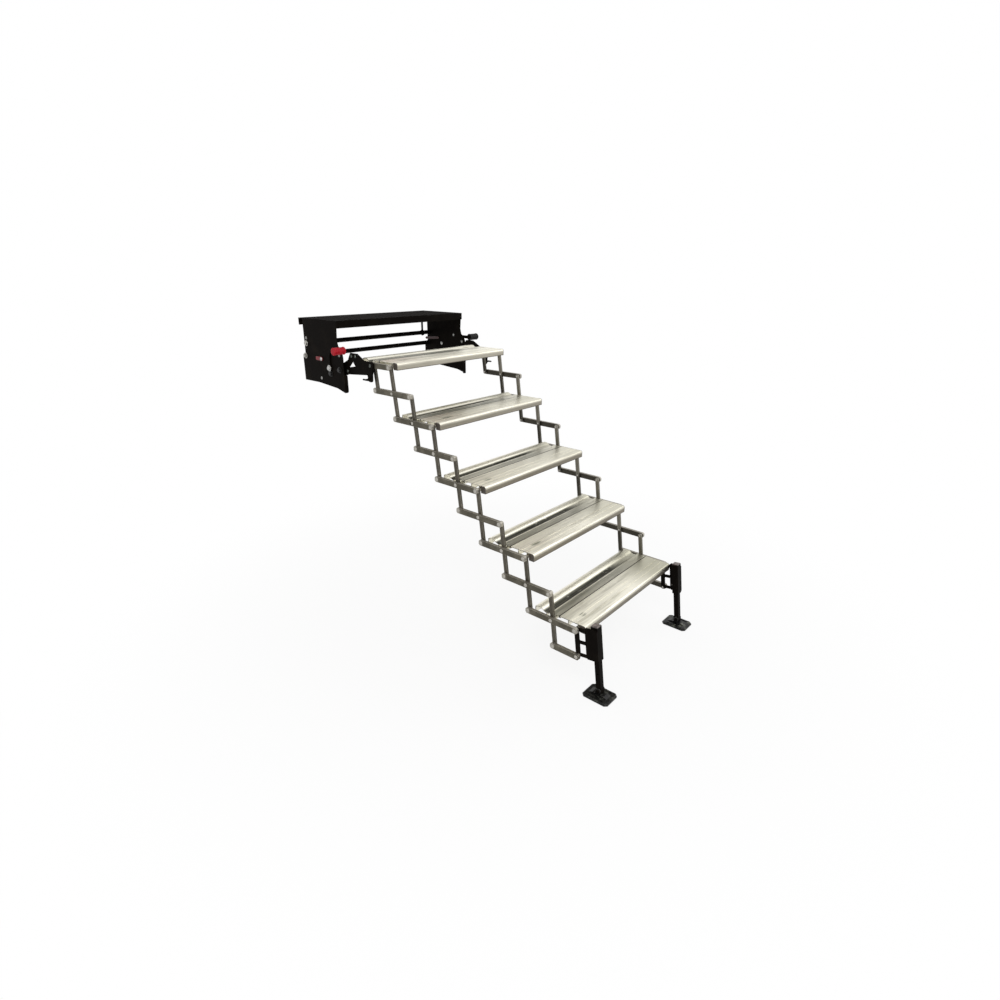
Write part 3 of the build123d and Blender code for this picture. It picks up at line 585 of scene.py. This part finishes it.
def weld(mesh, start, end, radius):
    """A weld bead from start to end, whose ripples each taper by a fifth and its ends by half."""
    run = Vector(end) - Vector(start)
    side = run.normalized().orthogonal()
    other = run.normalized().cross(side)
    count = max(6, int(run.length / weld_ripple * rings_to_ripple))
    rings = []
    for i in range(count + 1):
        share = i / count
        phase = share * run.length / weld_ripple
        swell = 1 - 0.22 * (phase - floor(phase)) if 0 < i < count else 0.45
        centre = Vector(start) + run * share
        spokes = [cos(pi * k / 4) * side + sin(pi * k / 4) * other for k in range(8)]
        rings.append([mesh.verts.new(centre + radius * swell * spoke) for spoke in spokes])
    for low, high in zip(rings, rings[1:]):
        for k in range(8):
            mesh.faces.new((low[k], low[(k + 1) % 8], high[(k + 1) % 8], high[k]))
    mesh.faces.new(rings[0][::-1])
    mesh.faces.new(rings[-1])


lean = atan2(-level_step.y - link_half, -level_step.z)


def leg_place(x, ahead, up):
    """A place on a leg, ahead of and up the leaning riser line from the lowest pivot."""
    pivot = middle(last_level)
    y = pivot.y - ahead * cos(lean) + up * sin(lean)
    z = pivot.z + ahead * sin(lean) + up * cos(lean)
    return Vector((x, y, z))


# The faces of a bracket's bars and gusset along X, and what the welds join, ahead of the risers.
bracket_faces = (0.3235, 0.3285)
housing_back, gusset_back, bar_front = 0.0564, 0.0340, 0.0080
bar_heights = (0.102, 0.054, 0.004)
bar_weld_half = 0.0055
gusset_weld = (0.0, 0.111)
bead = 0.0016
bracket_welds = bmesh.new()
for side in (-1, 1):
    for face in bracket_faces:
        x = side * face
        for up in bar_heights:
            for ahead in (gusset_back, bar_front):
                weld(bracket_welds, leg_place(x, ahead, up - bar_weld_half),
                     leg_place(x, ahead, up + bar_weld_half), bead)
    gusset_ends = [leg_place(side * bracket_faces[0], housing_back, up) for up in gusset_weld]
    weld(bracket_welds, *gusset_ends, bead)
finished_piece("bracket_welds", bracket_welds, black_coat, "leg_frame")

plug_black = (0.022, 0.013, 0.011, 1.0)
painted_plug_highlight = (0.26, 0.205, 0.185, 1.0)
rubbed_plug = (0.16, 0.13, 0.12, 1.0)
plug = Finish("leg_plug", {"Specular IOR Level": 0.5})
plug_grain = mottle(plug, 700.0, 2.0)
# A painted highlight on the plugs' tops, in patches.
plug_top_patches = rise(mottle(plug, 90.0, 4.0), 0.40, 0.62)
plug_top = rise(facing(plug, "Z"), 0.5, 0.95) * (0.25 + 0.75 * plug_top_patches)
plug_shade = blended(plug_top, plug_black, painted_plug_highlight)
plug.feed("Base Color", blended(edge_wear(plug, 0.0012) * 0.4, plug_shade, rubbed_plug))
plug.feed("Roughness", 0.22 + 0.14 * plug_grain)
plug.feed("Normal", relief(plug_grain, 0.00005, 0.0012))
dress(plug, "leg_caps")
dress(zinc, "clamp_screws")


# The feet: hard glossy black mouldings, dusty on top with a painted sheen, and scuffed on their
# corners. A steel pin through the tube is riveted over in both ears.
foot_black = (0.0038, 0.0036, 0.0034, 1.0)
dust_and_sheen = (0.135, 0.140, 0.115, 1.0)
scuffed_corner = (0.075, 0.070, 0.062, 1.0)
foot_moulding = Finish("foot_moulding", {"Specular IOR Level": 0.22})
foot_dust = mottle(foot_moulding, 42.0, 5.0, 0.65)
foot_top = rise(facing(foot_moulding, "Z"), 0.3, 0.9)
foot_wear = edge_wear(foot_moulding, 0.002)
right_foot_share = rise(axis_of(foot_moulding, "X"), 0.0, 0.1)
# Dust with a painted sheen on the tops of the feet, more on the right foot.
foot_dust_and_sheen = rise(foot_dust, 0.50, 0.64) * foot_top * (0.35 + 0.5 * right_foot_share)
foot_shade = blended(foot_dust_and_sheen, foot_black, dust_and_sheen)
foot_scuff = foot_wear * rise(foot_dust, 0.48, 0.62) * 0.6
foot_shade = blended(foot_scuff, foot_shade, scuffed_corner)
foot_moulding.feed("Base Color", foot_shade)
foot_moulding.feed("Roughness", 0.16 + 0.34 * foot_dust)
foot_moulding.feed("Normal", relief(foot_dust, 0.0002, 0.0016))
dress(foot_moulding, "foot_left", "foot_right")

ear_outer = 0.0143
foot_rivet_head = rivet_head(0.0066, 0.0020)
dark_rivet = coat_finish("dark_rivet", 90.0)
for name in ("left", "right"):
    pin = pivots[f"{name}_foot_tilt"]
    rivets = bmesh.new()
    for outward in (-1, 1):
        turned(rivets, foot_rivet_head, (pin.x + outward * ear_outer, pin.y, pin.z), outward, 24)
    finished_piece(f"foot_rivets_{name}", rivets, dark_rivet, f"{name}_foot")


# The mount's fasteners: bright zinc rod bolts, and blackened hinge and stop bolts, on washers.
# Small button bolts sit in the side plates, and welds run under the channel and round the bosses.
# Places on the mount, in metres back and up from the first tread's middle pivot.
hinge_bolt = (0.184, -0.036)
stop_bolt = (0.249, -0.057)
upper_rod_bolt = (0.416, 0.057)
lower_rod_bolt = (0.430, 0.003)
keeper_place = (0.324, 0.007)
outside_buttons = ((0.412, 0.080), (0.321, -0.084), (0.178, 0.025))
inside_buttons = ((0.235, 0.055), (0.178, 0.025))
plate_thickness = 0.004
plate_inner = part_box("cross_rods")[1].x
plate_outer = plate_inner + plate_thickness
bright_bolt = (0.50, 0.49, 0.46, 1.0)
weathered_bolt = (0.20, 0.19, 0.17, 1.0)
black_oxide = (0.011, 0.011, 0.011, 1.0)
rubbed_oxide = (0.040, 0.040, 0.038, 1.0)


def from_pivot(y, z):
    """A place on the mount or on an arm, as the frame's (y, z)."""
    return (pivots["fold"].y + y, pivots["fold"].z + z)


def bolt_finish(name):
    """Zinc on the rod bolts at the back of the mount, black oxide on the bolts ahead of them."""
    bolt = Finish(name, {"Specular IOR Level": 0.4})
    bright = rise(axis_of(bolt, "Y"), 0.0, 0.04)
    dull = mottle(bolt, 70.0, 4.0)
    plated = blended(rise(dull, 0.40, 0.65) * 0.8, bright_bolt, weathered_bolt)
    oxide = blended(rise(dull, 0.45, 0.75) * 0.6, black_oxide, rubbed_oxide)
    bolt.feed("Base Color", blended(bright, oxide, plated))
    bolt.feed("Metallic", 0.3 + 0.7 * bright)
    bolt.feed("Roughness", 0.30 + 0.20 * dull)
    bolt.feed("Normal", relief(dull, 0.00008, 0.0008))
    return bolt


mount_bolt = bolt_finish("mount_bolt")
dress(mount_bolt, "mount_bolts")
# Half sections of heads and washers, as (height over the face, radius).
button_head = [(0, 0.0066), (0.0010, 0.0066), (0.0010, 0.0050), (0.0024, 0.0046), (0.0036, 0.0034),
               (0.0040, 0.0022), (0.0026, 0.0020)]
dull_zinc = zinc_finish("dull_zinc", (0.34, 0.34, 0.33, 1.0))
plate_bolts = bmesh.new()
for side in (-1, 1):
    for place in outside_buttons:
        turned(plate_bolts, button_head, (side * plate_outer, *from_pivot(*place)), side, 20)
    for place in inside_buttons:
        turned(plate_bolts, button_head, (side * plate_inner, *from_pivot(*place)), -side, 20)
finished_piece("plate_bolts", plate_bolts, dull_zinc, "mount")

washer = [(0, 0.0125), (0.0012, 0.0125), (0.0016, 0.0120), (0.0016, 0.0095)]
head_crown = [(0.0055, 0.0086), (0.0068, 0.0082), (0.0074, 0.0070), (0.0074, 0.0030)]
washers = bmesh.new()
for side in (-1, 1):
    for place in (hinge_bolt, stop_bolt, upper_rod_bolt, lower_rod_bolt):
        start = (side * plate_outer, *from_pivot(*place))
        turned(washers, washer, start, side, 28)
        turned(washers, head_crown, start, side, 28)
finished_piece("bolt_washers", washers, mount_bolt, "mount")

bright_zinc = zinc_finish("bright_zinc", (0.56, 0.56, 0.55, 1.0))
keeper_head = [(0, 0.0082), (0.0012, 0.0082), (0.0012, 0.0070), (0.0030, 0.0064), (0.0046, 0.0046),
               (0.0050, 0.0026), (0.0032, 0.0022)]
keeper_button = bmesh.new()
turned(keeper_button, keeper_head, (plate_inner, *from_pivot(*keeper_place)), -1, 28)
finished_piece("keeper_button", keeper_button, bright_zinc, "mount")


def weld_ring(mesh, x, centre, radius, thick, steps=16):
    """A bead round a boss that stands on a plate, at a place given as (y, z)."""
    turns = [2 * pi * i / steps for i in range(steps)]
    rim = [(x, centre[0] + radius * cos(turn), centre[1] + radius * sin(turn)) for turn in turns]
    for i in range(steps):
        weld(mesh, rim[i], rim[(i + 1) % steps], thick)


bend_weld_height = 0.155
bend_weld_starts = (0.20, 0.265, 0.33, 0.39)
bend_weld_run = Vector((0, 0.03, 0))
boss_rim = 0.0112
mount_welds = bmesh.new()
for side in (-1, 1):
    for y in bend_weld_starts:
        start = Vector((side * plate_inner, *from_pivot(y, bend_weld_height)))
        weld(mount_welds, start, start + bend_weld_run, 0.0022)
    weld_ring(mount_welds, side * plate_inner, from_pivot(*hinge_bolt), boss_rim, 0.0018)
finished_piece("mount_welds", mount_welds, black_coat, "mount")


# The swing arms' own fasteners: blackened button bolts on their outer faces, and the weld round
# the ferrule that guides each pull pin.
ferrule_length = 0.008
ferrule_rim = 0.0082
ferrule_place = (0.004, -0.056)
arm_bolt_places = ((0.0, -0.002), (0.094, 0.027), (0.121, 0.026), (0.152, -0.038))
arm_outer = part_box("swing_arms")[1].x - ferrule_length
arm_bolts = bmesh.new()
arm_welds = bmesh.new()
for side in (-1, 1):
    for place in arm_bolt_places:
        turned(arm_bolts, button_head, (side * arm_outer, *from_pivot(*place)), side, 20)
    weld_ring(arm_welds, side * arm_outer, from_pivot(*ferrule_place), ferrule_rim, 0.0014, 12)
green_black = (0.035, 0.042, 0.036, 1.0)
worn_green_black = (0.15, 0.165, 0.145, 1.0)
oxide_bolt = Finish("arm_bolt", {"Specular IOR Level": 0.45, "Metallic": 0.5})
oxide_mottle = mottle(oxide_bolt, 160.0, 4.0)
oxide_shade = blended(rise(oxide_mottle, 0.4, 0.65), green_black, worn_green_black)
oxide_bolt.feed("Base Color", oxide_shade)
oxide_bolt.feed("Roughness", 0.30 + 0.25 * oxide_mottle)
oxide_bolt.feed("Normal", relief(oxide_mottle, 0.00008, 0.0005))
finished_piece("arm_bolts", arm_bolts, oxide_bolt, "carriage")
finished_piece("arm_welds", arm_welds, black_coat, "carriage")


# The latch levers' hub bolts: bright zinc hexagon heads on turned washers, one over the pivot of
# each lever. They turn with the levers.
hex_head = [(0.0, 0.0104), (0.0048, 0.0104), (0.0066, 0.0088), (0.0066, 0.0030)]
hub_washer = [(0.0, 0.0130), (0.0013, 0.0130), (0.0016, 0.0126), (0.0016, 0.0100)]
lever_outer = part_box("hand_grip_right")[0].x
for side, name in ((-1, "left"), (1, "right")):
    hub = pivots[f"{name}_latch_turn"]
    hub_bolt = bmesh.new()
    turned(hub_bolt, hex_head, (side * lever_outer, hub.y, hub.z), side, 6)
    turned(hub_bolt, hub_washer, (side * lever_outer, hub.y, hub.z), side, 28)
    finished_piece(f"hub_bolt_{name}", hub_bolt, bright_zinc, f"{name}_latch")


# The latch levers' hand grips: soft moulded sleeves with a flange at the lever, grip rings and a
# rounded end, pushed on the spindles. The left one is red and the right one black.
def grip_finish(name, shade, worn):
    """Soft moulded plastic with a fine matt grain, rubbed paler in patches."""
    soft = Finish(name, {"Specular IOR Level": 0.20})
    grain = mottle(soft, 520.0, 2.0)
    rub = mottle(soft, 45.0, 4.0)
    soft.feed("Base Color", blended(rise(rub, 0.40, 0.72) * 0.6, shade, worn))
    soft.feed("Roughness", 0.38 + 0.16 * grain)
    soft.feed("Normal", soft.node("ShaderNodeBump", {}, {"Height": grain, "Distance": 0.00008}))
    return soft


# Half section of a sleeve, as (distance from the lever, radius).
grip_radius = 0.016
grip_length = 0.054
ring_count = 5
ring_pitch = 0.0070
first_ring = 0.0095
ring_root, ring_crest = 0.0138, 0.0150
grip_profile = [(0.0, 0.0062), (0.0, 0.0150), (0.0012, grip_radius), (0.0040, grip_radius),
                (0.0056, 0.0148), (0.0072, 0.0136)]
for ring in range(ring_count):
    start = first_ring + ring * ring_pitch
    grip_profile += [(start, ring_root), (start + 0.0015, ring_crest),
                     (start + 0.0036, ring_crest), (start + 0.0051, ring_root)]
grip_profile += [(0.0450, 0.0140), (0.0468, 0.0156), (0.0500, 0.0158), (0.0522, 0.0150),
                 (0.0535, 0.0128), (grip_length, 0.0090), (grip_length, 0.0020)]
for side, name, colour, shade, worn in (
    (-1, "left", "red_grip", (0.385, 0.003, 0.012, 1.0), (0.47, 0.020, 0.034, 1.0)),
    (1, "right", "black_grip", (0.005, 0.005, 0.005, 1.0), (0.020, 0.020, 0.019, 1.0)),
):
    low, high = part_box(f"hand_grip_{name}")
    spindle = ((low.y + high.y) / 2, (low.z + high.z) / 2)
    sleeve = bmesh.new()
    turned(sleeve, grip_profile, (side * lever_outer, *spindle), side, 48)
    soft = grip_finish(colour, shade, worn)
    grip = finished_piece(f"grip_sleeve_{name}", sleeve, soft, f"{name}_latch")
    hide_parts(f"hand_grip_{name}")


# The travel locks: the tab outside the left plate is red and the lever inside the right plate a
# red near black, both enamelled steel. A bright button bolt caps the tab's pivot.
chipped_steel = (0.24, 0.22, 0.20, 1.0)


def enamel_finish(name, shade):
    """Glossy enamel, chipped to grey steel on the edges."""
    enamel = Finish(name, {"Specular IOR Level": 0.4})
    wear = mottle(enamel, 130.0, 4.0)
    chips = edge_wear(enamel, 0.0012) * rise(wear, 0.45, 0.60)
    worn_shade = (shade[0] * 0.55, shade[1] * 0.8, shade[2] * 0.8, 1.0)
    mottled_shade = blended(rise(wear, 0.4, 0.7), shade, worn_shade)
    enamel.feed("Base Color", blended(chips * 0.8, mottled_shade, chipped_steel))
    enamel.feed("Roughness", 0.24 + 0.18 * wear + 0.2 * chips)
    enamel.feed("Normal", relief(wear, 0.0001, 0.0008))
    return enamel


dress(enamel_finish("red_enamel", (0.22, 0.006, 0.014, 1.0)), "lock_tab")
dress(enamel_finish("dark_red_enamel", (0.045, 0.010, 0.010, 1.0)), "lock_lever")
tab_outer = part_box("lock_tab")[0].x
tab_pivot = pivots["lock_tab_turn"]
tab_head = [(-0.0004, 0.0078), (0.0012, 0.0078), (0.0012, 0.0066), (0.0028, 0.0060),
            (0.0042, 0.0042), (0.0046, 0.0024), (0.0030, 0.0020)]
tab_button = bmesh.new()
turned(tab_button, tab_head, (tab_outer, tab_pivot.y, tab_pivot.z), -1, 28)
finished_piece("tab_button", tab_button, bright_zinc, "tab")
